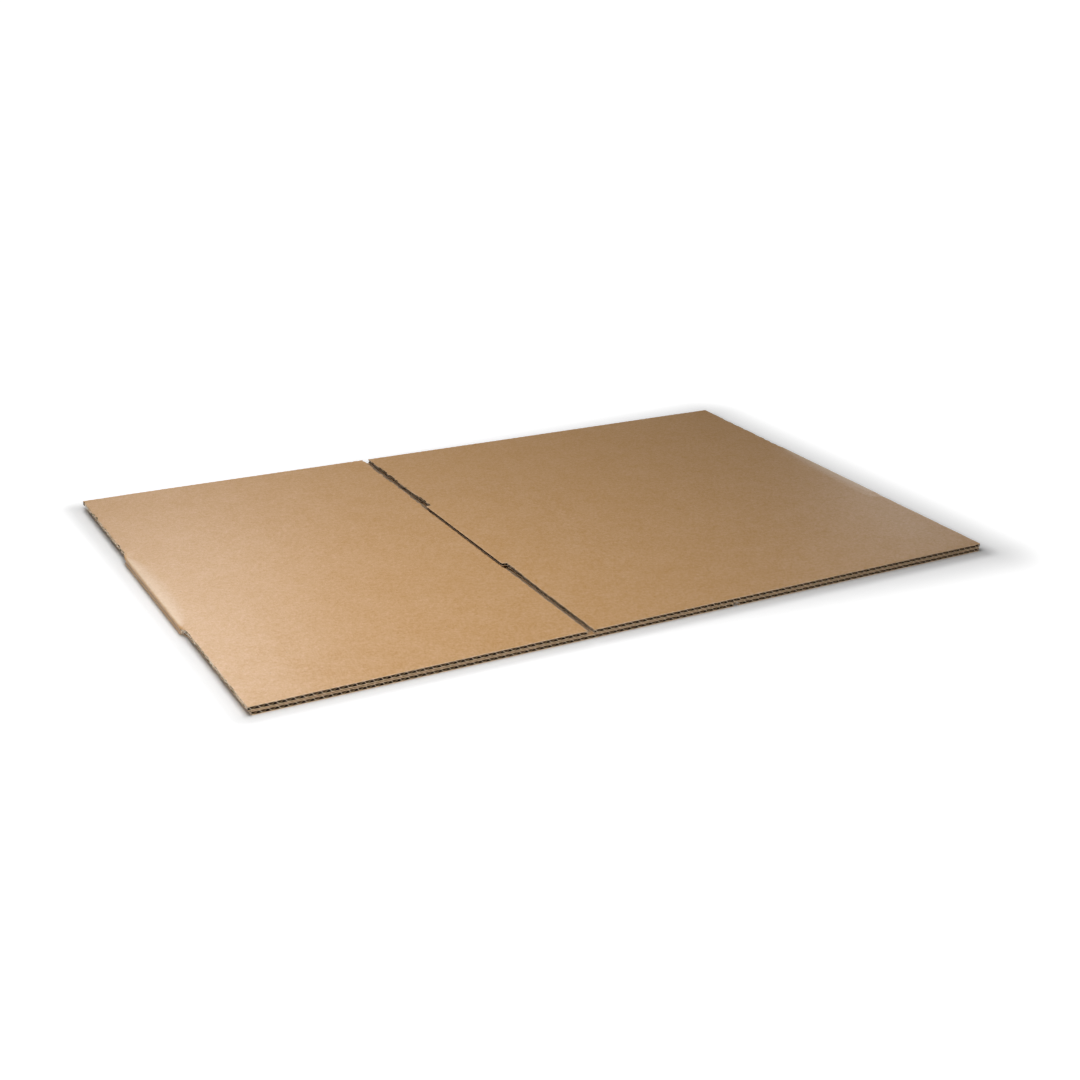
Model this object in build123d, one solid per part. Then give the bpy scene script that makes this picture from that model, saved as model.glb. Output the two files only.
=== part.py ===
"""A flattened shipping box: one slotted sheet of corrugated board, folded flat and glued at its side joint.

X runs across the panels, Y along the flutes and Z up. The origin is at the middle of the underside.
"""

import os

from build123d import *

# Panels and flaps, in millimetres
panel_length = 494.0      # each long side panel
panel_width = 326.0       # each short side panel
panel_depth = 168.0       # from one row of flap creases to the other
flap_length = 163.0       # all eight flaps, from crease to cut edge

# Cuts and creases
slot_width = 6.0          # between neighbouring flaps
slot_reach = 3.5          # how much further the left slots reach into the lower layer
joint_gap = 7.0           # between the flaps on both sides of the glued joint
joint_start = 0.5         # how far before the joint's crease that gap starts
seam_gap = 1.0            # between the long panel's cut edge and the glue tab's crease
crease_width = 4.0
crease_depth = 0.25
crush_width = 6.0         # flutes pressed solid beside a crease that runs along them

# Board: two liners with a fluted sheet between them
liner = 0.45
medium = 0.35
flute_height = 3.2        # between the liners
flute_pitch = 7.8
foot_width = 1.4          # where the fluted sheet is glued to a liner
channel_narrow = 1.1      # a channel's width at its narrow end

# How the folded sheet lies
layer_gap = 0.6           # between the two layers of board
fold_radius = 1.8         # rounded shoulders of the folds at both ends
fold_valley = 0.7         # depth of the groove between the shoulders
fold_wall = 2.2           # from the outside of a fold to the end of the gap between the layers

# Glue tab, which is part of the short panel and glued inside the long one
tab_width = 36.0
tab_thickness = 1.8       # its flutes are pressed flat
tab_clearance = 0.1       # above the lower layer
tab_slant = 12.0          # how far each end slopes back towards the tip
tab_shoulder = 1.5        # bevel of the short panel's upper edge where the tab turns down

board = 2 * liner + flute_height
left = -(panel_length + panel_width) / 2
right = -left
joint_x = left + panel_width
crease_x = left + panel_length
half_body = panel_depth / 2
half_depth = half_body + flap_length
upper_floor = board + layer_gap
joint_lift = tab_thickness + tab_clearance - layer_gap
spare = 1.0               # how far a cutting block reaches past the board


def lower_floor(x):
    """Underside of the lower layer."""
    return 0.0


def short_floor(x):
    """Underside of the short panel in the upper layer."""
    return upper_floor


def long_floor(x):
    """Underside of the long panel in the upper layer, which the glue tab lifts at the joint."""
    return upper_floor + joint_lift * (right - x) / (right - joint_x)


# Each sheet of board between two folds or cuts: its ends and its underside
lower_sheet = (left, right, lower_floor)
short_sheet = (left, joint_x, short_floor)
long_sheet = (joint_x + seam_gap, right, long_floor)

# The creases along the flutes that press each sheet solid
side_creases = [
    (lower_sheet, (left, crease_x, right)),
    (short_sheet, (left, joint_x)),
    (long_sheet, (right,)),
]

# The stretch along Y that the flaps take at the front and at the back
flap_ranges = [(-half_depth - spare, -half_body), (half_body, half_depth + spare)]


def section_points(corners, y=-half_depth):
    """Points of (x, z) corners in the plane of the front cut edge, or another one."""
    return [Vector(x, y, z) for x, z in corners]


def prism(corners, start, end):
    """A solid with a section of (x, z) corners that runs along Y from start to end."""
    wire = Wire.make_polygon(section_points(corners, start))
    return extrude(Face(wire), amount=end - start, dir=(0, 1, 0))


def block(*ranges):
    """A block between the lowest and highest x, y and z."""
    sizes = [high - low for low, high in ranges]
    middle = [(high + low) / 2 for low, high in ranges]
    return Pos(*middle) * Box(*sizes)


def channel(middle, wide_below, floor):
    """Corners of one open channel, wide at one liner and narrow at the crest of the wave."""
    wide = (flute_pitch - foot_width) / 2
    narrow = channel_narrow / 2
    low = liner if wide_below else liner + medium
    high = low + flute_height - medium
    at_low, at_high = (wide, narrow) if wide_below else (narrow, wide)
    corners = [(-at_low, low), (at_low, low), (at_high, high), (-at_high, high)]
    return [(middle + x, floor(middle + x) + z) for x, z in corners]


def channels(sheet):
    """All channels of a sheet, in step from the left fold, with those that its ends cut."""
    start, end, floor = sheet
    step = flute_pitch / 2
    first = int((start - left) // step)
    last = int((end - left) // step) + 1
    return [channel(left + step * i, i % 2 == 0, floor) for i in range(first, last + 1)]


def stays_open(corners, sheet, creases):
    """Whether a channel runs clear of the sheet's ends and of the creases along it."""
    low = min(x for x, z in corners)
    high = max(x for x, z in corners)
    start, end, floor = sheet
    clear = all(high < crease - crush_width or low > crease + crush_width for crease in creases)
    return clear and low > start + liner and high < end - liner


def shoulder(side, corner_z, upward):
    """Rounded outer corner of the fold at one end, from its flat face to the end."""
    end_x = side * right
    turn = fold_radius * (1 - 0.5 ** 0.5)
    corners = [(end_x - side * fold_radius, corner_z), (end_x - side * turn, corner_z + upward * turn),
               (end_x, corner_z + upward * fold_radius)]
    return ThreePointArc(*section_points(corners))


def fold_end(side):
    """Outside of the fold at one end: two rounded shoulders with a groove between them."""
    end_x = side * right
    top = upper_floor + board
    middle = top / 2
    corners = [(end_x, top - fold_radius), (end_x, middle + fold_valley),
               (end_x - side * fold_valley, middle),
               (end_x, middle - fold_valley), (end_x, fold_radius)]
    return [shoulder(side, top, -1), Polyline(*section_points(corners)), shoulder(side, 0, 1)]


def outline():
    """Outline of the folded sheet across the flutes."""
    seam = joint_x + seam_gap
    inner_left = left + fold_wall
    inner_right = right - fold_wall
    top = upper_floor + board
    above = [(left + fold_radius, top), (joint_x - tab_shoulder, top), (joint_x, top - tab_shoulder),
             (joint_x, upper_floor), (inner_left, upper_floor), (inner_left, board),
             (inner_right, board), (inner_right, long_floor(inner_right)),
             (seam, long_floor(seam)), (seam, long_floor(seam) + board), (right - fold_radius, top)]
    below = [(left + fold_radius, 0), (right - fold_radius, 0)]
    pieces = [Polyline(*section_points(above)), Line(*section_points(below)), *fold_end(-1), *fold_end(1)]
    edges = [edge for piece in pieces for edge in piece.edges()]
    return Wire.combine(edges)[0]


def folded_sheet():
    """The sheet over its full depth, before the flaps are cut free."""
    holes = [Wire.make_polygon(section_points(corners))
             for sheet, creases in side_creases
             for corners in channels(sheet)
             if stays_open(corners, sheet, creases)]
    return extrude(Face(outline(), holes), amount=2 * half_depth, dir=(0, 1, 0))


def flap_channels():
    """Channels that the side creases press shut between the flaps, and that stay open in the flaps."""
    return [prism(corners, *flap)
            for sheet, creases in side_creases
            for corners in channels(sheet)
            if not stays_open(corners, sheet, creases)
            for flap in flap_ranges]


def slots():
    """Cuts that free the flaps from their neighbours."""
    half_slot = slot_width / 2
    gap_start = joint_x - joint_start
    between = board + layer_gap / 2
    above = upper_floor + board + joint_lift + spare
    cutters = []
    for flap in flap_ranges:
        cutters += [
            block((left - spare, left + half_slot), flap, (-spare, above)),
            block((left - spare, left + half_slot + slot_reach), flap, (-spare, between)),
            block((right - half_slot, right + spare), flap, (-spare, above)),
            block((crease_x - half_slot, crease_x + half_slot), flap, (-spare, between)),
            block((gap_start, gap_start + joint_gap), flap, (between, above)),
        ]
    return cutters


def flap_crease(sheet, bottom, top, middle):
    """A pressed line across the flutes of a sheet, between two heights above its underside."""
    start, end, floor = sheet
    corners = [(start, floor(start) + bottom), (end, floor(end) + bottom),
               (end, floor(end) + top), (start, floor(start) + top)]
    return prism(corners, middle - crease_width / 2, middle + crease_width / 2)


def pressed_lines():
    """Shallow lines in the outer faces that the flaps and the panels fold at."""
    panel_crease = (crease_x - crease_width / 2, crease_x + crease_width / 2)
    cutters = [block(panel_crease, (-half_body, half_body), (-spare, crease_depth))]
    for middle in (-half_body, half_body):
        cutters.append(flap_crease(lower_sheet, -spare, crease_depth, middle))
        cutters.append(flap_crease(short_sheet, board - crease_depth, board + spare, middle))
        cutters.append(flap_crease(long_sheet, board - crease_depth, board + spare, middle))
    return cutters


def glue_tab():
    """The tab that runs on from the short panel and is glued to the inside of the long panel."""
    tip = joint_x + tab_width
    section = [(joint_x - tab_thickness, upper_floor), (joint_x, upper_floor),
               (joint_x, long_floor(joint_x)), (tip, long_floor(tip)), (tip, long_floor(tip) - tab_thickness),
               (joint_x, long_floor(joint_x) - tab_thickness)]
    tab = prism(section, -half_body, half_body)
    for side in (-1, 1):
        outside = [(joint_x, side * (half_body + spare)), (joint_x, side * half_body),
                   (tip, side * (half_body - tab_slant)), (tip, side * (half_body + spare))]
        wedge = Face(Wire.make_polygon([Vector(x, y, 0) for x, y in outside]))
        tab -= extrude(wedge, amount=upper_floor + board, dir=(0, 0, 1))
    return tab


def flattened_box():
    """The whole box as one solid."""
    return folded_sheet() - (slots() + flap_channels() + pressed_lines()) + glue_tab()


os.makedirs("parts", exist_ok=True)
export_step(flattened_box(), "parts/flattened_box.step")
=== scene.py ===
"""Dresses a flattened corrugated box in its papers: two liners, the fluted sheet and the torn cuts.

The sheet is made as a factory makes it: a flat blank is slotted, its cut edges are roughened, it gets
its thickness, and it is folded up around its two folds and its glued joint.
"""
import math
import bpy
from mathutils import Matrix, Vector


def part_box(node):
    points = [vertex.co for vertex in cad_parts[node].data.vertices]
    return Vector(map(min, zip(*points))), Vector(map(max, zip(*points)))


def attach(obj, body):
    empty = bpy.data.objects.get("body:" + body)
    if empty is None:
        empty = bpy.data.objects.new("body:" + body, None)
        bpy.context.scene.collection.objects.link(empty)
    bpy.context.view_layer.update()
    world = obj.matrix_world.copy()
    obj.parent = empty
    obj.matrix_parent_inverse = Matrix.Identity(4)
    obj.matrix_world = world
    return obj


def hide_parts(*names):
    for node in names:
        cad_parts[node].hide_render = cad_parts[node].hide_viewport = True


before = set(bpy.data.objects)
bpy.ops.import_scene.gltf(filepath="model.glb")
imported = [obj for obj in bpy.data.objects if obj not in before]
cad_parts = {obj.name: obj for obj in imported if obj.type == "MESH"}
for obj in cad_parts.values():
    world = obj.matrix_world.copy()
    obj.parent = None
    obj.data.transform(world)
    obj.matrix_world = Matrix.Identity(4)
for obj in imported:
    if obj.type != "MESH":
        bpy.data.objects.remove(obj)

from types import SimpleNamespace

import bmesh
import bpy
from bpy.props import FloatProperty, FloatVectorProperty, IntProperty, PointerProperty
from bpy.types import Operator, Panel, PropertyGroup
from mathutils import Matrix, Vector, noise

bl_info = {
    "name": "Flattened box",
    "version": (1, 0, 0),
    "blender": (4, 5, 0),
    "location": "3D View > Sidebar > Flattened box",
    "description": "Makes the papers of a flattened corrugated box and its studio",
    "category": "Object",
}

NODE = "flattened_box"
MM = 0.001
LOW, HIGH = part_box(NODE)
CLOSE = 0.01 * MM
SEED_STEP = 7.31
OUTER_SEED = 100
INNER_SEED = 200

# Kinds of unevenness: a seed, and how fast it changes along its first and its second coordinate.
UNEVENNESS = {
    "sway": (1, 4.5, 5.5),
    "press": (2, 60, 90),
    "wave_drift": (4, 30, 4),
    "wave_height": (5, 90, 6),
    "wave_lean": (6, 12, 3),
    "wave_end": (7, 500, 1),
    "cut_fibres": (0, 700, 0),
    "cut_tufts": (1, 260, 0),
    "bites": (2, 150, 0),
    "bite_depth": (3, 400, 0),
    "trim": (50, 800, 0),
    "wall_tufts": (20, 500, 2.2),
    "wall_fibres": (20, 1100, 5),
    "wall_gaps": (20.5, 330, 1.7),
    "slot_end": (60, 700, 3),
}

# Where each lamp stands, what it looks at and how wide it is, in metres.
LAMPS = {
    "key": ((-0.38, -0.236, 0.75), (-0.38, -0.186, 0.0), 0.6),
    "back": ((-0.118, 1.034, 0.858), (-0.35, 0.0, 0.0), 0.38),
    "far": ((3.0, 2.306, 0.342), (0.4, 0.0, 0.0), 0.5),
    "front": ((-1.5, -1.9, 0.1), (-0.1, -0.1, 0.0), 0.2),
}


def length_value(name, description, value):
    """A length that a user can change."""
    return FloatProperty(name=name, description=description, default=value, min=0.0,
                         unit="LENGTH", subtype="DISTANCE", precision=5)


def colour_value(name, description, value):
    """A paper colour that a user can change."""
    return FloatVectorProperty(name=name, description=description, default=value, size=3,
                               min=0.0, max=1.0, subtype="COLOR")


def factor_value(name, description, value):
    """A share from nothing to all."""
    return FloatProperty(name=name, description=description, default=value,
                         min=0.0, max=1.0, subtype="FACTOR")


def angle_value(name, description, degrees):
    """An angle of the camera."""
    return FloatProperty(name=name, description=description, default=math.radians(degrees),
                         subtype="ANGLE", unit="ROTATION")


def power_value(name, description, value):
    """The power of a lamp."""
    return FloatProperty(name=name, description=description, default=value, unit="POWER")


class FlatBoxPanels(PropertyGroup):
    """Sizes of the folded box, its flaps and its cuts."""

    panel_width: length_value("Short panel", "Width of each short panel", 326 * MM)
    panel_depth: length_value("Depth", "Distance between the two rows of flap creases", 168 * MM)
    slot_width: length_value("Slot", "Width of the cut between neighbouring flaps", 6 * MM)
    slot_reach: length_value("Slot reach", "How much further the left slots reach below", 3.5 * MM)
    joint_gap: length_value("Joint gap", "Width of the cut between the flaps at the glued joint", 7 * MM)
    joint_start: length_value("Joint start", "How far before the joint's crease that cut starts", 0.5 * MM)
    seam_gap: length_value("Seam", "From the long panel's cut edge to the tab's crease", 1 * MM)
    tab_width: length_value("Glue tab", "Width of the glue tab", 36 * MM)
    tab_thickness: length_value("Tab thickness", "Thickness of the pressed glue tab", 1.8 * MM)
    tab_slant: length_value("Tab slant", "How far each end of the tab slopes back", 12 * MM)


class FlatBoxBoard(PropertyGroup):
    """Sizes of the corrugated board and of its folds."""

    board: length_value("Board", "Thickness of the board", 4.1 * MM)
    liner: length_value("Liner", "Thickness of each liner", 0.5 * MM)
    fluting: length_value("Fluting", "Thickness of the fluted sheet", 0.48 * MM)
    pitch: length_value("Wave", "Length of one wave of the fluted sheet", 7.8 * MM)
    layer_gap: length_value("Layer gap", "Space between the two layers of board", 0.6 * MM)
    fold_reach: length_value("Fold reach", "How far a fold slopes into the panels", 22 * MM)
    fold_drop: length_value("Fold drop", "How much the sheet is thinned at a fold", 0.55 * MM)
    fold_radius: length_value("Fold radius", "Corners of a fold", 1.5 * MM)
    fold_valley: length_value("Fold valley", "Depth of the groove along the middle of a fold", 0.9 * MM)
    fold_wall: length_value("Fold wall", "From the outside of a fold to the gap inside it", 3.4 * MM)
    wave_steps: IntProperty(name="Wave steps", description="Faces along one wave", default=10, min=4)


class FlatBoxWear(PropertyGroup):
    """How far the sheet departs from a perfect one."""

    bite: length_value("Torn bites", "Deepest bite out of a torn edge", 2.4 * MM)
    ragged: length_value("Ragged edge", "Fine unevenness of a cut edge", 0.35 * MM)
    sway: length_value("Sway", "Gentle waviness of the upper layer", 0.2 * MM)
    lean: length_value("Lean", "How far the waves lean over", 0.7 * MM)


class FlatBoxPaper(PropertyGroup):
    """Colours of the papers."""

    outside: colour_value("Outer liner", "Smooth kraft outside", (0.60, 0.35, 0.158))
    # Partly real, partly painted light: paler stretched paper along a fold, which also stands in for the
    # sheen there as a painted highlight.
    rubbed: colour_value("Rubbed fold", "Stretched and rubbed paper along a fold", (0.80, 0.62, 0.44))
    inside: colour_value("Inner liner", "Kraft inside", (0.45, 0.27, 0.13))
    # Painted shade: the channels and the fluting are painted far darker than their paper, for the shade
    # inside the flutes; rim is the paler paper close to the front and back cuts, where that painted shade
    # fades out.
    channel: colour_value("Channels", "Sides of the liners that face the waves", (0.018, 0.011, 0.006))
    fluting: colour_value("Fluting", "Darker paper of the waves", (0.10, 0.056, 0.028))
    rim: colour_value("Rim", "Paper inside the board where the knife went through", (0.40, 0.28, 0.17))
    edge: colour_value("Liner edge", "Cut edge of a liner", (0.86, 0.60, 0.37))
    # Painted light and shade: the cut edges of the waves are painted lit where they fall to the right and
    # dim where they rise.
    lit_wave: colour_value("Lit wave edge", "Cut edge of a wave falling to the right", (0.75, 0.59, 0.41))
    dim_wave: colour_value("Dim wave edge", "Cut edge of a wave rising to the right", (0.37, 0.26, 0.15))
    matted: colour_value("Matted flutes", "Crushed waves along a torn cut", (0.74, 0.58, 0.42))
    # Painted shade: near-black paper in the gaps and bites of a torn cut, where shade falls.
    pits: colour_value("Pits", "Dark gaps in a torn cut", (0.09, 0.065, 0.045))
    # Painted shade: this colour darkens the bottom of the gap at the joint, the torn walls there and near
    # the front and back ends, and the long panel's cut edge in the seam.
    shaded: colour_value("Shaded cut", "Crushed waves in the gap at the joint", (0.23, 0.17, 0.12))
    torn: colour_value("Torn paper", "Pale fibres at a cut", (0.92, 0.83, 0.72))


class FlatBoxStudio(PropertyGroup):
    """The photograph's viewing angle and the plain light."""

    lens: FloatProperty(name="Lens", description="Focal length in millimetres", default=50.39, min=1.0)
    place: FloatVectorProperty(name="Camera", description="Where the camera stands", subtype="TRANSLATION",
                               unit="LENGTH", default=(-0.7661, -1.2722, 0.6108))
    pitch: angle_value("Pitch", "How far the camera looks down", 22.724)
    turn: angle_value("Turn", "Camera's turn about the vertical", -31.419)
    roll: angle_value("Roll", "Camera's turn about its own axis", 2.77)
    bounce: factor_value("Floor bounce", "How much light the floor throws back", 0.75)
    sky: factor_value("Sky", "Light from straight above", 0.17)
    key: power_value("Key lamp", "Power of the lamp above the left half", 4.95)
    back: power_value("Back lamp", "Power of the lamp behind the left end", 4.5)
    far: power_value("Far lamp", "Power of the low lamp beyond the right end", 7.0)
    front: power_value("Front lamp", "Power of the low lamp before the front left corner", 18.0)


def ease(value, low, high):
    """0 up to low, 1 from high on and a smooth rise between."""
    share = min(max((value - low) / (high - low), 0.0), 1.0)
    return share * share * (3 - 2 * share)


def dip(distance, width):
    """1 at a line, falling smoothly to 0 beside it."""
    return math.exp(-((distance / width) ** 2))


def mix(first, second, share):
    """A value or a point between two others."""
    return first + (second - first) * share


def plain(group):
    """A property group's values as plain numbers."""
    return SimpleNamespace(**{name: getattr(group, name) for name in group.__annotations__})


def wander(kind, first, second=0.0, seed=0):
    """Even noise of one kind between about -1 and 1, the same on every run."""
    own_seed, along, across = UNEVENNESS[kind]
    return noise.noise(Vector((first * along, second * across, (own_seed + seed) * SEED_STEP)))


class Blank:
    """The flat sheet: where its creases and cuts lie, and where each place goes when it is folded.

    u runs along the blank from the tip of the glue tab to the long panel's cut edge, and v runs along the
    flutes from front to back.
    """

    # Waves: how far they drift, how full their crests are and how sharply light falls on a slope.
    wave_drift = 0.5
    wave_fullness = 1.3
    slope_contrast = 3

    # How wide and how deep creases and knives press the outer and the inner face.
    crease_width = 2.4 * MM
    outer_press = 0.05 * MM
    inner_press = 0.8 * MM
    knife_width = 1.4 * MM
    knife_press = 0.1 * MM
    end_knife_share = 0.4

    # How deep the liners sink between the waves at the front and back edges, and how far in.
    sag = 0.15 * MM
    sag_width = 1.6 * MM

    # Along the blank from the middle of a fold: its side, then its corner, then paler stretched paper with
    # a painted sheen.
    fold_side = 2.8 * MM
    fold_corner = 2.2 * MM
    rub_and_sheen_reach = 20 * MM

    # Height of a fold's groove, and the share of its reach over which the gap inside it opens.
    valley_width = 1.3 * MM
    gap_opening = 0.25

    # Bends on the two sides of the tab's crease, and how far the tab's ends stay back there.
    tab_bend = 2 * MM
    panel_bend = 3 * MM
    tab_clearance = 1 * MM

    # Lengths over which the lifted panel comes down beyond the tab and in its flaps.
    settle = 150 * MM
    relax = 70 * MM

    # Lengths over which the gentle waves rise, and over which a fold ends in the flaps' cuts.
    calm = 60 * MM
    flap_turn = 12 * MM

    def __init__(self, scene):
        self.panels = plain(scene.flat_box_panels)
        self.board = plain(scene.flat_box_board)
        self.wear = plain(scene.flat_box_wear)
        panels = self.panels
        self.left, self.right = LOW.x, HIGH.x
        self.half_depth = HIGH.y
        self.half_body = panels.panel_depth / 2
        panel_length = self.right - self.left - panels.panel_width
        self.joint = self.left + panels.panel_width
        self.tab_crease = panels.tab_width
        self.first_fold = self.tab_crease + panels.panel_width
        self.panel_crease = self.first_fold + panel_length
        self.second_fold = self.panel_crease + panels.panel_width
        self.end = self.second_fold + panel_length - panels.seam_gap
        self.floor = self.board.board + self.board.layer_gap
        self.top = self.floor + self.board.board
        self.middle = self.top / 2
        self.lift = HIGH.z - self.top
        self.slots = self.find_slots()
        starts = [(high, 1) for low, high in self.slots[:-1]]
        ends = [(low, -1) for low, high in self.slots[1:]]
        self.flap_sides = starts + ends
        self.known = {}

    def find_slots(self):
        """Stretches of u that are cut away between the flaps."""
        half_slot = self.panels.slot_width / 2
        creases = (self.first_fold, self.panel_crease, self.second_fold)
        cuts = [[crease - half_slot, crease + half_slot] for crease in creases]
        cuts[0][1] += self.panels.slot_reach
        first = self.tab_crease + self.panels.joint_start
        wall = self.joint - self.panels.joint_start + self.panels.joint_gap
        past = 1 * MM
        return [(-past, first), *cuts, (self.second_fold + self.right - wall, self.end + past)]

    def inside(self, v):
        """1 between the flap creases and 0 in the flaps."""
        return 1 - ease(abs(v), self.half_body, self.half_body + self.flap_turn)

    def rise(self, x, v):
        """How far the glue tab lifts the long panel."""
        tab_end = self.joint + self.panels.tab_width
        along = 1 - ease(x, tab_end, tab_end + self.settle)
        across = 1 - ease(abs(v), self.half_body, self.half_body + self.relax)
        return self.lift * along * across

    def sway(self, x, v):
        """Gentle waves of the upper layer, which die out at the folds."""
        ends = min(x - self.left, self.right - x)
        wave = 0.6 + wander("sway", x, v)
        return self.wear.sway * wave * ease(ends, self.board.fold_reach, self.calm)

    def crest(self, u, v):
        """Height of the wave at a place, from -1 to 1."""
        phase = 2 * math.pi * u / self.board.pitch + self.wave_drift * wander("wave_drift", u, v)
        return math.tanh(self.wave_fullness * math.cos(phase)) / math.tanh(self.wave_fullness)

    def from_fold(self, u):
        """How far a place along the blank is from the nearer fold."""
        return min(abs(u - fold) for fold in (self.first_fold, self.second_fold))

    def slope(self, u, v):
        """How steeply a wave falls to the right, from 0 to 1, for the light on its cut edge."""
        step = self.board.pitch / 20
        way = 1 if self.first_fold < u < self.second_fold else -1
        fall = (self.crest(u - step, v) - self.crest(u + step, v)) * way
        return 0.5 + 0.5 * math.tanh(self.slope_contrast * fall)

    def seam(self, u, v):
        """1 at the long panel's cut edge, which stands in the shade of the narrow seam."""
        return 1.0 if self.end - u < CLOSE else 0.0

    def rubbed(self, u, v):
        """1 along the corners of a fold in the body, fading into the panels and towards the flaps, for the
        paler stretched paper and the painted sheen there.
        """
        distance = self.from_fold(u)
        corner = self.fold_side + self.fold_corner
        bulge = math.sqrt(max(0.0, 1 - (v / self.half_body) ** 2))
        reach = corner + (self.rub_and_sheen_reach - corner) * bulge
        fade = (1 - ease(distance, corner, reach)) if reach > corner else 0.0
        return ease(bulge, 0.0, 0.5) * ease(distance, self.fold_side, corner) * fade

    def groove(self, u, v):
        """1 along the groove in the middle of a fold, fading over its rounded corners, where the paper is
        darkened as painted shade.
        """
        return dip(self.from_fold(u), self.fold_side) * self.inside(v)

    def pressing(self, u, v, upward):
        """How far creases and knives press the outer and the inner face."""
        from_end = self.half_depth - abs(v)
        flap_crease = dip(abs(v) - self.half_body, self.crease_width)
        side_crease = dip(u - self.panel_crease, self.crease_width) * self.inside(v)
        crease = max(flap_crease, side_crease)
        side = min(abs(u - place) for place, way in self.flap_sides)
        knife = dip(side, self.knife_width) * (1 - self.inside(v))
        knife = max(knife, dip(from_end, self.knife_width) * self.end_knife_share)
        uneven = 0.7 + 0.6 * wander("press", u, v)
        outer = max(self.outer_press * crease, self.knife_press * knife * uneven)
        inner = max(self.inner_press * crease, self.knife_press * knife * uneven)
        crest = self.crest(u, v) * upward
        sag = self.sag * dip(from_end, self.sag_width)
        return outer + sag * (1 - crest) / 2, inner + sag * (1 + crest) / 2

    def lying_flat(self, u, v):
        """The x of a place on the blank, and the heights of its outer and inner faces."""
        board = self.board.board
        if u < self.first_fold:
            x = self.joint + self.tab_crease - u
            under = self.floor + self.rise(x, v)
            share = ease(u, self.tab_crease - self.tab_bend, self.tab_crease + self.panel_bend)
            share = mix(1.0, share, self.inside(v))
            outer = mix(under, self.top, share)
            inner = mix(under - self.panels.tab_thickness, self.floor, share)
            sway = self.sway(x, v) * share
            return x, outer + sway, inner + sway
        if u < self.second_fold:
            return self.left + u - self.first_fold, 0.0, board
        x = self.right - (u - self.second_fold)
        sway = self.sway(x, v) * ease(x, self.joint, self.joint + self.calm)
        inner = self.floor + self.rise(x, v) + sway
        return x, inner + board, inner

    def fold_outside(self, distance):
        """How far in from the end and above the middle the outside of a fold is at a distance."""
        board = self.board
        radius = board.fold_radius
        shoulder = self.middle - board.fold_drop
        slope_start = self.fold_side + self.fold_corner
        if distance > slope_start:
            along = (distance - slope_start) / (board.fold_reach - slope_start)
            share = ease(distance, slope_start, board.fold_reach)
            return mix(radius, board.fold_reach, along), mix(shoulder, self.middle, share)
        if distance > self.fold_side:
            angle = (distance - self.fold_side) / self.fold_corner * math.pi / 2
            return radius * (1 - math.cos(angle)), shoulder - radius * (1 - math.sin(angle))
        height = (shoulder - radius) * distance / self.fold_side
        return board.fold_valley * dip(height, self.valley_width), height

    def folded(self, turn, end_x, side, v):
        """Outer and inner points of a fold; turn runs from -1 on the upper layer to 1 on the lower one."""
        reach = self.board.fold_reach
        inward, height = self.fold_outside(abs(turn) * reach)
        outer = Vector((end_x - side * inward, v, self.middle - math.copysign(height, turn)))
        inward = mix(self.board.fold_wall, reach, abs(turn))
        half_gap = self.board.layer_gap / 2 * min(1.0, abs(turn) / self.gap_opening)
        inner = Vector((end_x - side * inward, v, self.middle - math.copysign(half_gap, turn)))
        return outer, inner

    def faces(self, u, v):
        """Outer and inner points of the board at a place on the blank, once it is folded."""
        key = (round(u, 7), round(v, 7))
        if key not in self.known:
            self.known[key] = self.work_out(u, v)
        return self.known[key]

    def work_out(self, u, v):
        """The sum behind faces."""
        x, outer_z, inner_z = self.lying_flat(u, v)
        way = 1 if outer_z > inner_z else -1
        outer_press, inner_press = self.pressing(u, v, way)
        outer = Vector((x, v, outer_z - way * outer_press))
        inner = Vector((x, v, inner_z + way * inner_press))
        for fold, end_x, side in ((self.first_fold, self.left, -1), (self.second_fold, self.right, 1)):
            turn = (u - fold) / self.board.fold_reach * -side
            share = self.inside(v)
            if abs(turn) < 1 and share > 0:
                round_outer, round_inner = self.folded(turn, end_x, side, v)
                outer = mix(outer, round_outer, share)
                inner = mix(inner, round_inner, share)
        if u < self.tab_crease:
            past = self.tab_crease - u
            slant = self.panels.tab_slant * past / self.panels.tab_width + self.tab_clearance
            shrink = 1 - slant / self.half_body * ease(past, 0, self.tab_bend)
            outer.y *= shrink
            inner.y *= shrink
        return outer, inner

    def through(self, u, v, share):
        """A point between the liners: 0 against the outer liner and 1 against the inner one."""
        outer, inner = self.faces(u, v)
        depth = inner - outer
        margin = min((self.board.liner + self.board.fluting / 2) / depth.length, 0.5)
        return outer + depth * mix(margin, 1 - margin, share)


def stations(marks, fine, coarse, growth=1.5):
    """Places through all the marks, close together beside each mark and further apart between."""
    places = []
    marks = sorted(marks)
    for low, high in zip(marks, marks[1:]):
        offsets = [0.0]
        step = fine
        while offsets[-1] + step < (high - low) / 2:
            offsets.append(offsets[-1] + step)
            step = min(step * growth, coarse)
        rest = high - low - 2 * offsets[-1]
        parts = max(1, round(rest / step))
        middle = [low + offsets[-1] + rest * i / parts for i in range(1, parts)]
        places += [low + offset for offset in offsets] + middle
        places += [high - offset for offset in reversed(offsets[1:])]
    return places + [marks[-1]]


def flat_sheet(along, across):
    """A flat grid with a vertex at every crossing of two lists of places."""
    bm = bmesh.new()
    columns, rows = len(along) - 1, len(across) - 1
    bmesh.ops.create_grid(bm, x_segments=columns, y_segments=rows, size=0.5)
    for vert in bm.verts:
        column = round((vert.co.x + 0.5) * columns)
        row = round((vert.co.y + 0.5) * rows)
        vert.co = (along[column], across[row], 0)
    return bm


def cut_slots(bm, blank):
    """Cuts the flaps free of each other, and leaves the tab only between the flap creases."""
    waste = []
    for face in bm.faces:
        middle = face.calc_center_median()
        in_flap = abs(middle.y) > blank.half_body
        if in_flap and any(low < middle.x < high for low, high in blank.slots):
            waste.append(face)
    bmesh.ops.delete(bm, geom=waste, context="FACES")


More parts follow.
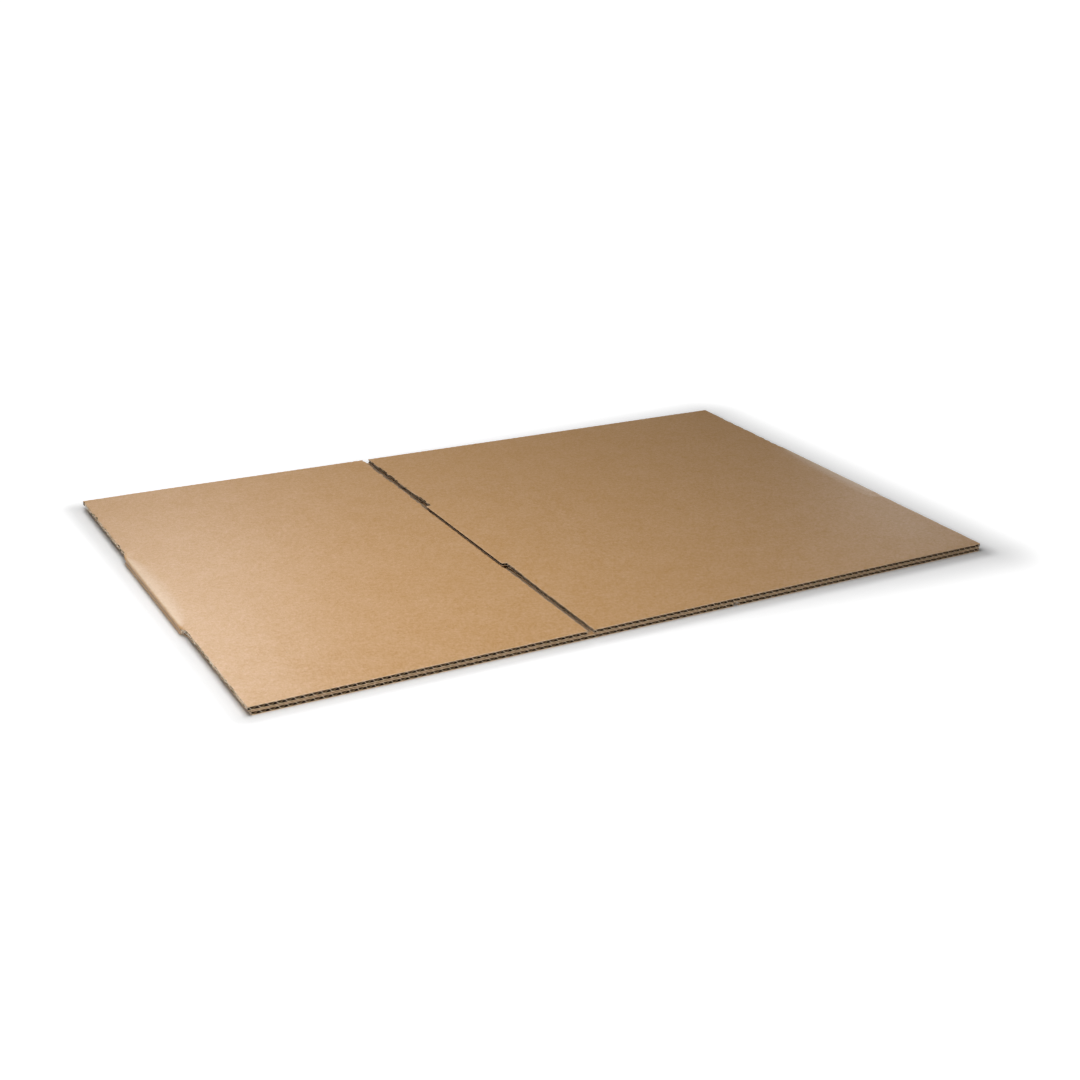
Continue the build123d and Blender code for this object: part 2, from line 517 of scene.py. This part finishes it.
def divide_cut_edges(bm, blank, step):
    """Shortens the edges along the cuts, so that those can be ragged."""
    near = 1.2 * MM
    beside_flap, at_ends = [], []
    for edge in bm.edges:
        first, second = (vert.co for vert in edge.verts)
        if edge.calc_length() < 2 * step:
            continue
        if abs(first.x - second.x) < CLOSE:
            in_flap = min(abs(first.y), abs(second.y)) > blank.half_body - CLOSE
            if in_flap and any(-CLOSE < (first.x - place) * way < near for place, way in blank.flap_sides):
                beside_flap.append(edge)
        elif abs(first.y - second.y) < CLOSE and blank.half_depth - abs(first.y) < near:
            at_ends.append(edge)
    for edges in (beside_flap, at_ends):
        cuts = round(max(edge.calc_length() for edge in edges) / step) - 1
        bmesh.ops.subdivide_edges(bm, edges=edges, cuts=cuts, use_grid_fill=True)


def mark_cuts(bm):
    """Remembers which vertices lie on a cut, for the paler torn paper there, which also paints the
    highlight where the cut edge catches the light.
    """
    layer = bm.verts.layers.float.new("cut")
    for edge in bm.edges:
        if edge.is_boundary:
            for vert in edge.verts:
                vert[layer] = 1.0


def mark(bm, name, value_at):
    """Remembers a value of every place on a flat sheet, for its paper."""
    layer = bm.verts.layers.float.new(name)
    for vert in bm.verts:
        vert[layer] = value_at(vert.co.x, vert.co.y)


def raggedness(blank, seed, v, depth):
    """How far a torn edge is eaten away at a place along it."""
    share = 0.6
    fine = wander("cut_fibres", v, seed=seed) * share + wander("cut_tufts", v, seed=seed) * share
    return depth * fine + blank.wear.bite * bitten(seed, v)


def bitten(seed, v):
    """Share of the deepest bite that is gone from a torn edge, more of it at the back."""
    front_share = 0.3
    bite = ease(wander("bites", v, seed=seed), 0.0, 0.35)
    bite *= 0.6 + 0.4 * wander("bite_depth", v, seed=seed)
    return bite * (1.0 if v > 0 else front_share)


def side_seed(seed, index):
    """Seed of one cut side of a flap, from its liner's seed."""
    return seed + index * 5


def roughen(bm, blank, seed, depth):
    """Makes the cut sides of the flaps ragged, and the front and back edges a little uneven."""
    fade = 1.6 * MM
    root_length = 3 * MM
    corner_length = 4 * MM
    trim_width = 0.6 * MM
    for vert in bm.verts:
        u, v = vert.co.x, vert.co.y
        from_end = blank.half_depth - abs(v)
        in_flap = ease(abs(v), blank.half_body, blank.half_body + root_length)
        corner = ease(from_end, 0, corner_length)
        for index, (place, way) in enumerate(blank.flap_sides):
            distance = (u - place) * way
            if -CLOSE < distance < 4 * fade:
                bite = raggedness(blank, side_seed(seed, index), v, depth)
                vert.co.x += way * bite * math.exp(-distance / fade) * in_flap * corner
        trim = dip(from_end, trim_width) * abs(wander("trim", u, seed=seed)) * depth / 2
        vert.co.y -= math.copysign(trim, v)


def thicken(bm, thickness):
    """Gives a sheet its thickness: material 1 goes to the faces round its cuts and 2 to the new side."""
    first_side = set(bm.verts)
    bmesh.ops.solidify(bm, geom=bm.faces[:], thickness=thickness)
    for face in bm.faces:
        count = sum(vert in first_side for vert in face.verts)
        if count == 0:
            face.material_index = 2
        elif count < len(face.verts):
            face.material_index = 1


def to_mesh(bm, name, materials=()):
    """Turns a worked sheet into a mesh with its materials."""
    mesh = bpy.data.meshes.new(name)
    bm.to_mesh(mesh)
    bm.free()
    for material in materials:
        mesh.materials.append(material)
    return mesh


def add_object(name, data):
    """A new object in the scene."""
    made = bpy.data.objects.new(name, data)
    bpy.context.collection.objects.link(made)
    return made


def finish_mesh(bm, name, materials, sharp=math.radians(40)):
    """Turns a folded mesh into a piece that rides with the box and stands for its solid."""
    bmesh.ops.recalc_face_normals(bm, faces=bm.faces[:])
    for face in bm.faces:
        face.smooth = True
    mesh = to_mesh(bm, name, materials)
    mesh.set_sharp_from_angle(angle=sharp)
    piece = add_object(name, mesh)
    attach(piece, "root")
    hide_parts(NODE)


def blank_marks(blank):
    """Places along the blank that each liner has a line of vertices at."""
    bend = blank.panel_bend
    marks = [0.0, blank.tab_crease - bend, blank.tab_crease, blank.tab_crease + bend,
             blank.panel_crease, blank.end]
    for fold in (blank.first_fold, blank.second_fold):
        for distance in (blank.fold_side, blank.fold_side + blank.fold_corner, blank.board.fold_reach):
            marks += [fold - distance, fold + distance]
        marks.append(fold)
    marks += [place for place, way in blank.flap_sides]
    return marks


def depth_marks(blank):
    """Places along the flutes that each liner has a row of vertices at."""
    turn = blank.flap_turn
    rows = [blank.half_depth, blank.half_body + turn, blank.half_body, blank.half_body - turn]
    return [-row for row in rows] + rows


def make_liner(scene, name, paper, seed, outside):
    """One of the two liners, as a sheet of even thickness folded up with the board."""
    blank = Blank(scene)
    along = stations(blank_marks(blank), fine=0.8 * MM, coarse=16 * MM, growth=1.8)
    across = stations(depth_marks(blank), fine=0.9 * MM, coarse=9 * MM, growth=1.8)
    bm = flat_sheet(along, across)
    cut_slots(bm, blank)
    divide_cut_edges(bm, blank, step=1.1 * MM)
    mark_cuts(bm)
    mark(bm, "rubbed", blank.rubbed)
    mark(bm, "groove", blank.groove)
    roughen(bm, blank, seed, blank.wear.ragged)
    # The flat sheet is one metre thick for a moment, so that its two sides can be told apart.
    apart = 1.0
    thicken(bm, apart)
    for vert in bm.verts:
        outer, inner = blank.faces(vert.co.x, vert.co.y)
        shown, other = (outer, inner) if outside else (inner, outer)
        hidden = shown + (other - shown).normalized() * blank.board.liner
        vert.co = shown if abs(vert.co.z) < apart / 2 else hidden
    channel = dark_paper(scene, "channel_paper", scene.flat_box_paper.channel, rim=0.05)
    finish_mesh(bm, name, [paper, edge_paper(scene), channel])


def wave_rows(blank):
    """Rows of the fluted sheet along the flutes, close together beside its ends and the flap creases."""
    near = 1.6 * MM
    crease, end = blank.half_body, blank.half_depth
    rows = [crease / 2, crease - blank.flap_turn, crease - near, crease, crease + near,
            crease + blank.flap_turn, crease + blank.relax / 2, crease + blank.relax,
            end - blank.flap_turn, end - near, end]
    return [-row for row in reversed(rows)] + rows


def make_fluting(blank, materials):
    """The fluted sheet: waves between the liners that flatten out in the creases and folds."""
    pitch = blank.board.pitch
    count = round(blank.end / pitch * blank.board.wave_steps)
    even = [blank.end * i / count for i in range(count + 1)]
    marks = [place for place, way in blank.flap_sides]
    smallest_gap = pitch / blank.board.wave_steps * 0.35
    kept = [place for place in even if all(abs(place - mark) > smallest_gap for mark in marks)]
    bm = flat_sheet(sorted(kept + marks), wave_rows(blank))
    cut_slots(bm, blank)
    mark_cuts(bm)
    mark(bm, "slope", blank.slope)
    mark(bm, "seam", blank.seam)
    for vert in bm.verts:
        vert.co = wave_point(blank, vert.co.x, vert.co.y)
    bm.normal_update()
    for vert in bm.verts:
        vert.co += vert.normal * blank.board.fluting / 2
    thicken(bm, blank.board.fluting)
    finish_mesh(bm, "fluted_sheet", materials, sharp=math.radians(70))


def wave_point(blank, u, v):
    """A point of the fluted sheet: a wave that leans a little, and lies flat in a fold."""
    x, outer_z, inner_z = blank.lying_flat(u, v)
    crest = blank.crest(u, v)
    turn = blank.from_fold(u) / blank.board.fold_reach
    open_share = mix(1.0, ease(turn, 0.1, 1.0), blank.inside(v))
    crest *= open_share * (1 - 0.1 * abs(wander("wave_height", x, v)))
    upward = 1 if outer_z > inner_z else -1
    point = blank.through(u, v, 0.5 - 0.5 * crest * upward)
    point.x += blank.wear.lean * wander("wave_lean", x, v) * crest
    back_offset = 9.0
    uneven = wander("wave_end", x, 0.0 if v < 0 else back_offset)
    uneven *= dip(blank.half_depth - abs(v), 1 * MM)
    point.y -= math.copysign(0.25 * MM * abs(uneven), v)
    return point


def make_torn_flutes(blank, material):
    """Ragged walls of torn fluting along the cut sides of the flaps and across the ends of the slots."""
    # Shares of the way from the outer liner to the inner one.
    levels = [0.04, 0.18, 0.34, 0.5, 0.66, 0.82, 0.96]
    step = 0.9 * MM
    rows = stations([blank.half_body + 1 * MM, blank.half_depth - 0.4 * MM], fine=step, coarse=step)
    bm = bmesh.new()
    for front in (-1, 1):
        for index in range(len(blank.flap_sides)):
            seed = index * 3 + front
            strip = flat_sheet(levels, rows)
            tear_gaps(strip, seed)
            set_along_flap(strip, blank, index, front, seed)
            join_strip(bm, strip)
        for low, high in blank.slots[1:-1]:
            strip = flat_sheet(levels, stations([low, high], fine=1 * MM, coarse=1 * MM))
            set_across_slot(strip, blank, front)
            join_strip(bm, strip)
    bmesh.ops.solidify(bm, geom=bm.faces[:], thickness=0.3 * MM)
    finish_mesh(bm, "torn_flutes", [material])


def set_along_flap(strip, blank, index, front, seed):
    """Puts a strip of levels and rows along a cut side of a flap."""
    place, way = blank.flap_sides[index]
    edge_seed = side_seed(OUTER_SEED, index)
    deep = strip.verts.layers.float.new("deep")
    pit = strip.verts.layers.float.new("pit")
    behind, tuft_depth, fibre_depth = 0.1 * MM, 0.3 * MM, 0.25 * MM
    end_shade = 2.5 * MM
    for vert in strip.verts:
        level, v = vert.co.x, vert.co.y * front
        inset = behind + tuft_depth * wander("wall_tufts", v, level, seed)
        inset += fibre_depth * wander("wall_fibres", v, level, seed)
        inset += 0.8 * max(0.0, raggedness(blank, edge_seed, v, tuft_depth))
        vert.co = blank.through(place + way * inset, v, level)
        # Painted shade: the torn wall is marked for the shaded colour at the joint's gap and close to the
        # front and back ends.
        at_joint = vert.co.z > blank.floor and abs(vert.co.x - blank.joint) < 2 * blank.panels.joint_gap
        at_end = dip(blank.half_depth - abs(v), end_shade)
        vert[deep] = max(at_end, 1.0 if at_joint else 0.0)
        # Painted shade in the bites, strongest near the outer liner.
        vert[pit] = ease(bitten(edge_seed, v), 0.3, 0.8) * (1 - 0.7 * level)


def set_across_slot(strip, blank, front):
    """Puts a strip of levels and places across the end of a slot, where the knife crushed the board."""
    for vert in strip.verts:
        level, u = vert.co.x, vert.co.y
        inset = 0.1 * MM + 0.2 * MM * abs(wander("slot_end", u, level, front))
        vert.co = blank.through(u, front * (blank.half_body - inset), level)


def join_strip(bm, strip):
    """Adds a strip to a mesh."""
    mesh = to_mesh(strip, "strip")
    bm.from_mesh(mesh)
    bpy.data.meshes.remove(mesh)


def tear_gaps(strip, seed):
    """Tears small gaps into a wall of fluting."""
    least = 0.48
    gone = []
    for face in strip.faces:
        middle = face.calc_center_median()
        if wander("wall_gaps", middle.y, middle.x, seed) > least:
            gone.append(face)
    bmesh.ops.delete(strip, geom=gone, context="FACES")


class Nodes:
    """A node tree that is built up a node at a time."""

    def __init__(self, tree):
        self.tree = tree

    def add(self, kind, values=None, **settings):
        """A node with its inputs and its settings."""
        made = self.tree.nodes.new(kind)
        for name, value in settings.items():
            setattr(made, name, value)
        return self.feed(made, values or {})

    def feed(self, node, values):
        """Gives a node's inputs their values or links."""
        for name, value in values.items():
            if isinstance(value, bpy.types.NodeSocket):
                self.tree.links.new(value, node.inputs[name])
            else:
                node.inputs[name].default_value = value
        return node

    def spread(self, value, low, high, least=0.0, most=1.0):
        """Takes a value from one range to another and holds it there."""
        values = {"Value": value, "From Min": low, "From Max": high, "To Min": least, "To Max": most}
        return self.add("ShaderNodeMapRange", values).outputs[0]

    def maths(self, operation, first, second=0.0):
        """One operation on two values, or on one."""
        return self.add("ShaderNodeMath", {0: first, 1: second}, operation=operation).outputs[0]

    def times(self, *values):
        """Several values multiplied together."""
        result = values[0]
        for value in values[1:]:
            result = self.maths("MULTIPLY", result, value)
        return result


class Paper(Nodes):
    """Node tree of one paper, built up a layer at a time."""

    def __init__(self, name, colour):
        self.material = bpy.data.materials.new(name)
        self.material.use_nodes = True
        super().__init__(self.material.node_tree)
        self.shader = self.tree.nodes["Principled BSDF"]
        self.place = self.add("ShaderNodeTexCoord").outputs["Object"]
        self.colour = self.add("ShaderNodeRGB").outputs[0]
        self.colour.default_value = (*colour, 1.0)
        self.height = None

    def noise(self, scale, detail=2, stretch=(1.0, 1.0, 1.0)):
        """Even noise on the paper, drawn out along one of its axes if stretch says so."""
        mapping = self.add("ShaderNodeMapping", {"Vector": self.place, "Scale": stretch})
        values = {"Vector": mapping.outputs[0], "Scale": scale, "Detail": detail, "Roughness": 0.6}
        return self.add("ShaderNodeTexNoise", values).outputs["Fac"]

    def axes(self):
        """The three coordinates of a place on the piece."""
        return self.add("ShaderNodeSeparateXYZ", {0: self.place}).outputs

    def marked(self, name):
        """The share that the mesh remembers under a name."""
        return self.add("ShaderNodeAttribute", attribute_name=name).outputs["Fac"]

    def tint(self, share, colour):
        """Moves the colour towards another where share is high. Inputs 6 and 7 are the node's colours."""
        values = {0: share, 6: self.colour, 7: (*colour, 1.0)}
        self.colour = self.add("ShaderNodeMix", values, data_type="RGBA").outputs[2]

    def shade(self, value, least, most):
        """Multiplies the colour by a factor between two limits."""
        values = {0: self.colour, "Scale": self.spread(value, 0.25, 0.75, least, most)}
        self.colour = self.add("ShaderNodeVectorMath", values, operation="SCALE").outputs[0]

    def fleck(self, value, amount):
        """Makes the colour whiter or darker by the same amount in all its parts."""
        values = {0: self.colour, 1: self.spread(value, 0.25, 0.75, -amount, amount)}
        self.colour = self.add("ShaderNodeVectorMath", values, operation="ADD").outputs[0]

    def raise_by(self, value, amount):
        """Adds a layer to the height that the bump follows."""
        part = self.times(value, amount)
        self.height = part if self.height is None else self.maths("ADD", self.height, part)

    def finish(self, roughness, specular):
        """Joins the layers to the shader."""
        bump = self.add("ShaderNodeBump", {"Height": self.height, "Strength": 1.0, "Distance": 1.0})
        self.feed(self.shader, {"Base Color": self.colour, "Normal": bump.outputs[0],
                                "Roughness": roughness, "Specular IOR Level": specular})
        return self.material


def liner_paper(scene, name, colour, contrast, facing_in=False):
    """Kraft paper: soft clouds, short fibres along the machine direction and a few dark specks."""
    looks = scene.flat_box_paper
    paper = Paper(name, colour)
    clouds = paper.noise(scale=45, detail=3)
    mottle = paper.noise(scale=260, detail=3)
    fibres = paper.noise(scale=800, stretch=(1.0, 0.5, 1.0))
    paper.fleck(clouds, 0.02 * contrast)
    paper.fleck(mottle, 0.045 * contrast)
    paper.fleck(fibres, 0.06 * contrast)
    add_specks(paper, darker(colour, 0.3))
    # Partly real, partly painted light: paler torn fibres at a cut, also a painted highlight along the
    # edge.
    paper.tint(paper.times(paper.marked("cut"), paper.spread(mottle, 0.4, 0.6, most=0.35)), looks.torn)
    # Paler stretched paper along the folds, which also paints the sheen there as a painted highlight.
    wear_and_sheen = paper.spread(mottle, 0.3, 0.7, 0.5, 0.65)
    paper.tint(paper.times(paper.marked("rubbed"), wear_and_sheen), looks.rubbed)
    # Painted shade: the paper in a fold's groove is darkened to half its colour.
    paper.tint(paper.times(paper.marked("groove"), 0.8), darker(colour, 0.5))
    if facing_in:
        darken_joint(paper, scene)
    waves = paper.maths("SINE", paper.times(paper.axes()[0], 2 * math.pi / scene.flat_box_board.pitch))
    paper.raise_by(fibres, 0.05 * MM)
    paper.raise_by(mottle, 0.05 * MM)
    paper.raise_by(waves, 0.005 * MM)
    return paper.finish(roughness=0.4, specular=0.5)


def darker(colour, share):
    """A share of a colour."""
    return tuple(part * share for part in colour)


def add_specks(paper, colour):
    """A few small dark specks, in the middle of some cells of a fine net."""
    cells_per_metre = 150.0
    cells = paper.add("ShaderNodeTexVoronoi", {"Vector": paper.place, "Scale": cells_per_metre})
    near = paper.spread(cells.outputs["Distance"], 0.05, 0.09, 1.0, 0.0)
    rare = paper.spread(paper.noise(scale=cells_per_metre, detail=0), 0.66, 0.7)
    paper.tint(paper.times(near, rare, 0.6), colour)


def darken_joint(paper, scene):
    """Painted shade at the bottom of the gap at the joint, fading out close to the front and back edges.
    """
    panels = scene.flat_box_panels
    half_gap, half_body = panels.joint_gap / 2, panels.panel_depth / 2
    x, y = paper.axes()[:2]
    middle = LOW.x + panels.panel_width - panels.joint_start + half_gap
    across = paper.maths("ABSOLUTE", paper.maths("SUBTRACT", x, middle))
    along = paper.maths("ABSOLUTE", y)
    in_gap = paper.spread(across, half_gap, half_gap + 1 * MM, 1.0, 0.0)
    in_flaps = paper.spread(along, half_body, half_body + 2 * MM)
    from_end = paper.spread(paper.maths("SUBTRACT", HIGH.y, along), 3 * MM, 8 * MM)
    # Painted shade: tints the paper towards the shaded colour.
    paper.tint(paper.times(in_gap, in_flaps, from_end, 0.85), scene.flat_box_paper.shaded)


def edge_paper(scene):
    """Cut edge of a liner: pale, with short dark nicks."""
    colour = scene.flat_box_paper.edge
    paper = Paper("liner_edge", colour)
    nicks = paper.noise(scale=700, detail=3)
    paper.shade(nicks, 0.82, 1.12)
    paper.tint(paper.spread(nicks, 0.42, 0.34, most=0.7), darker(colour, 0.4))
    paper.raise_by(nicks, 0.15 * MM)
    return paper.finish(roughness=0.9, specular=0.2)


def dark_paper(scene, name, colour, rim):
    """Paper inside the board, painted dark for the shade inside the flutes, and paler close to the front
    and back cuts, where that painted shade fades out.
    """
    paper = Paper(name, colour)
    depth = paper.maths("SUBTRACT", HIGH.y, paper.maths("ABSOLUTE", paper.axes()[1]))
    # The painted shade fades to the rim colour close to the cuts.
    paper.tint(paper.spread(depth, 0.3 * MM, 1.6 * MM, rim, 0.0), scene.flat_box_paper.rim)
    fibres = paper.noise(scale=1500, stretch=(0.5, 1.5, 1.0))
    paper.shade(paper.noise(scale=420, detail=3), 0.86, 1.14)
    paper.shade(fibres, 0.85, 1.15)
    paper.raise_by(fibres, 0.1 * MM)
    return paper.finish(roughness=0.9, specular=0.2)


def fluting_edge_paper(scene):
    """Cut edge of the waves: paler where they fall to the right than where they rise."""
    looks = scene.flat_box_paper
    paper = Paper("fluting_edge", looks.lit_wave)
    # Painted light and shade by the slope of each wave.
    paper.tint(paper.spread(paper.marked("slope"), 0.35, 0.75, 0.9, 0.0), looks.dim_wave)
    # Painted shade on the long panel's cut edge in the narrow seam.
    paper.tint(paper.times(paper.marked("seam"), 0.9), looks.shaded)
    fibres = paper.noise(scale=1300)
    paper.shade(fibres, 0.8, 1.15)
    paper.raise_by(fibres, 0.15 * MM)
    return paper.finish(roughness=0.95, specular=0.15)


def torn_paper(scene):
    """Matted fibres along a torn cut: pale tufts over gaps painted dark as shade, drawn out along the cut.
    """
    looks = scene.flat_box_paper
    paper = Paper("torn_paper", looks.matted)
    tufts = paper.noise(scale=360, detail=3, stretch=(1.0, 0.6, 1.0))
    grain = paper.noise(scale=800)
    streaks = paper.noise(scale=700, stretch=(1.0, 0.12, 1.0))
    paper.shade(streaks, 0.7, 1.3)
    paper.tint(paper.spread(tufts, 0.54, 0.6), looks.torn)
    # Painted shade at the joint's gap and near the ends.
    paper.tint(paper.times(paper.marked("deep"), 0.85), looks.shaded)
    # Painted shade: dark pits between the tufts, in the grain and in the bites.
    paper.tint(paper.spread(tufts, 0.45, 0.4), looks.pits)
    paper.tint(paper.spread(grain, 0.42, 0.36, most=0.7), looks.pits)
    paper.tint(paper.times(paper.marked("pit"), 0.9), looks.pits)
    paper.raise_by(tufts, 0.2 * MM)
    return paper.finish(roughness=0.95, specular=0.15)


class FLATBOX_OT_outer_liner(Operator):
    """Make the outer liner, the side of the board that shows all round"""

    bl_idname = "flat_box.outer_liner"
    bl_label = "Outer liner"

    def execute(self, context):
        scene = context.scene
        kraft = scene.flat_box_paper.outside
        paper = liner_paper(scene, "outer_kraft", kraft, contrast=1.0)
        make_liner(scene, "outer_liner", paper, OUTER_SEED, outside=True)
        return {"FINISHED"}


class FLATBOX_OT_inner_liner(Operator):
    """Make the inner liner, which faces the gap between the two layers"""

    bl_idname = "flat_box.inner_liner"
    bl_label = "Inner liner"

    def execute(self, context):
        scene = context.scene
        kraft = scene.flat_box_paper.inside
        paper = liner_paper(scene, "inner_kraft", kraft, contrast=1.3, facing_in=True)
        make_liner(scene, "inner_liner", paper, INNER_SEED, outside=False)
        return {"FINISHED"}


class FLATBOX_OT_fluting(Operator):
    """Make the fluted sheet between the liners"""

    bl_idname = "flat_box.fluting"
    bl_label = "Fluted sheet"

    def execute(self, context):
        scene = context.scene
        inside = dark_paper(scene, "fluting_paper", scene.flat_box_paper.fluting, rim=0.12)
        make_fluting(Blank(scene), [inside, fluting_edge_paper(scene), inside])
        return {"FINISHED"}


class FLATBOX_OT_torn_flutes(Operator):
    """Make the ragged fluting along the cut sides of the flaps"""

    bl_idname = "flat_box.torn_flutes"
    bl_label = "Torn flutes"

    def execute(self, context):
        make_torn_flutes(Blank(context.scene), torn_paper(context.scene))
        return {"FINISHED"}


def floor_material(studio):
    """White floor that keeps the box's shadow, and bounces less light than it shows; its glow fades out
    towards the box and under it, a painted shade on top of the real shadow.
    """
    paper = Paper("studio_floor", (studio.bounce,) * 3)
    light = paper.add("ShaderNodeLightPath").outputs
    seen = paper.maths("MAXIMUM", light["Is Camera Ray"], light["Is Glossy Ray"])
    seen = paper.maths("MAXIMUM", seen, light["Is Transmission Ray"])
    paper.tint(seen, (0.85, 0.85, 0.85))
    # Painted shade: the glow fades out towards the box and is gone under it, darkening the floor there
    # beyond its real shadow.
    distance = distance_from_box(paper)
    near = paper.spread(distance, 0 * MM, 20 * MM, most=0.25)
    far = paper.spread(distance, 10 * MM, 100 * MM, most=0.7)
    strength = paper.times(seen, paper.maths("ADD", near, far))
    glow = paper.add("ShaderNodeEmission", {"Color": (1, 1, 1, 1), "Strength": strength})
    paper.feed(paper.shader, {"Base Color": paper.colour, "Roughness": 1.0, "Specular IOR Level": 0.0})
    both = paper.add("ShaderNodeAddShader", {0: paper.shader.outputs[0], 1: glow.outputs[0]})
    paper.feed(paper.tree.nodes["Material Output"], {"Surface": both.outputs[0]})
    return paper.material


def distance_from_box(paper):
    """How far a place on the floor is from the box's rectangle."""
    squares = []
    for place, edge in zip(paper.axes(), (HIGH.x, HIGH.y)):
        beside = paper.maths("MAXIMUM", paper.maths("SUBTRACT", paper.maths("ABSOLUTE", place), edge))
        squares.append(paper.times(beside, beside))
    return paper.maths("SQRT", paper.maths("ADD", *squares))


def make_floor(studio):
    """One large flat face just under the box."""
    half_width, clearance = 30.0, 0.05 * MM
    bm = bmesh.new()
    bmesh.ops.create_grid(bm, x_segments=1, y_segments=1, size=half_width)
    bmesh.ops.translate(bm, verts=bm.verts[:], vec=(0, 0, LOW.z - clearance))
    floor = add_object("studio_floor", to_mesh(bm, "studio_floor", [floor_material(studio)]))


def make_world(scene, strength):
    """White to the eye, and as a light bright above and dim near the horizon."""
    world = bpy.data.worlds.new("studio_world")
    world.use_nodes = True
    scene.world = world
    nodes = Nodes(world.node_tree)
    direction = nodes.add("ShaderNodeTexCoord").outputs["Generated"]
    height = nodes.add("ShaderNodeSeparateXYZ", {0: direction}).outputs[2]
    sky = nodes.spread(height, 0.1, 0.9, strength / 2, strength)
    seen = nodes.add("ShaderNodeLightPath").outputs["Is Camera Ray"]
    light = nodes.spread(seen, 0.0, 1.0, sky, 1.0)
    nodes.feed(nodes.tree.nodes["Background"], {"Color": (1, 1, 1, 1), "Strength": light})


def make_lamp(name, power):
    """A soft square lamp that looks at a point."""
    place, target, width = LAMPS[name]
    lamp = bpy.data.lights.new(f"{name}_lamp", "AREA")
    lamp.shape = "SQUARE"
    lamp.size = width
    lamp.energy = power
    holder = add_object(lamp.name, lamp)
    holder.location = place
    holder.rotation_euler = (Vector(target) - Vector(place)).to_track_quat("-Z", "Y").to_euler()


def make_camera(scene, studio):
    """The camera at the photograph's viewing angle."""
    camera = bpy.data.cameras.new("camera")
    camera.sensor_width = 36.0
    camera.lens = studio.lens
    camera.clip_start = 0.01
    camera.clip_end = 100.0
    holder = add_object("camera", camera)
    turn = Matrix.Rotation(studio.turn, 4, "Z")
    pitch = Matrix.Rotation(math.pi / 2 - studio.pitch, 4, "X")
    roll = Matrix.Rotation(studio.roll, 4, "Z")
    holder.matrix_world = Matrix.Translation(studio.place) @ turn @ pitch @ roll
    scene.camera = holder


class FLATBOX_OT_studio(Operator):
    """Make the floor, the light and the camera"""

    bl_idname = "flat_box.studio"
    bl_label = "Studio"

    def execute(self, context):
        studio = context.scene.flat_box_studio
        make_floor(studio)
        make_world(context.scene, studio.sky)
        for name in LAMPS:
            make_lamp(name, getattr(studio, name))
        make_camera(context.scene, studio)
        context.scene.view_settings.view_transform = "Standard"
        return {"FINISHED"}


class FLATBOX_PT_sidebar(Panel):
    """Sizes and colours of the box, and a button for each piece"""

    bl_idname = "FLATBOX_PT_sidebar"
    bl_label = "Flattened box"
    bl_space_type = "VIEW_3D"
    bl_region_type = "UI"
    bl_category = "Flattened box"

    def draw(self, context):
        for operator in OPERATORS:
            self.layout.operator(operator.bl_idname)
        for group_name in GROUPS:
            group = getattr(context.scene, group_name)
            box = self.layout.box()
            box.label(text=group_name.replace("flat_box_", "").capitalize())
            for name in group.__annotations__:
                box.prop(group, name)


GROUPS = {
    "flat_box_panels": FlatBoxPanels,
    "flat_box_board": FlatBoxBoard,
    "flat_box_wear": FlatBoxWear,
    "flat_box_paper": FlatBoxPaper,
    "flat_box_studio": FlatBoxStudio,
}
OPERATORS = (
    FLATBOX_OT_outer_liner,
    FLATBOX_OT_inner_liner,
    FLATBOX_OT_fluting,
    FLATBOX_OT_torn_flutes,
    FLATBOX_OT_studio,
)


def register():
    """Registers the properties, the operators and the sidebar panel."""
    for name, group in GROUPS.items():
        bpy.utils.register_class(group)
        setattr(bpy.types.Scene, name, PointerProperty(type=group))
    for shown in (*OPERATORS, FLATBOX_PT_sidebar):
        bpy.utils.register_class(shown)


def unregister():
    """Takes back what register did."""
    for shown in (FLATBOX_PT_sidebar, *reversed(OPERATORS)):
        bpy.utils.unregister_class(shown)
    for name, group in reversed(GROUPS.items()):
        delattr(bpy.types.Scene, name)
        bpy.utils.unregister_class(group)


def main():
    """Makes the pieces and the studio."""
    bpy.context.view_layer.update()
    register()
    bpy.ops.flat_box.outer_liner()
    bpy.ops.flat_box.inner_liner()
    bpy.ops.flat_box.fluting()
    bpy.ops.flat_box.torn_flutes()
    bpy.ops.flat_box.studio()


if __name__ == "__main__":
    main()
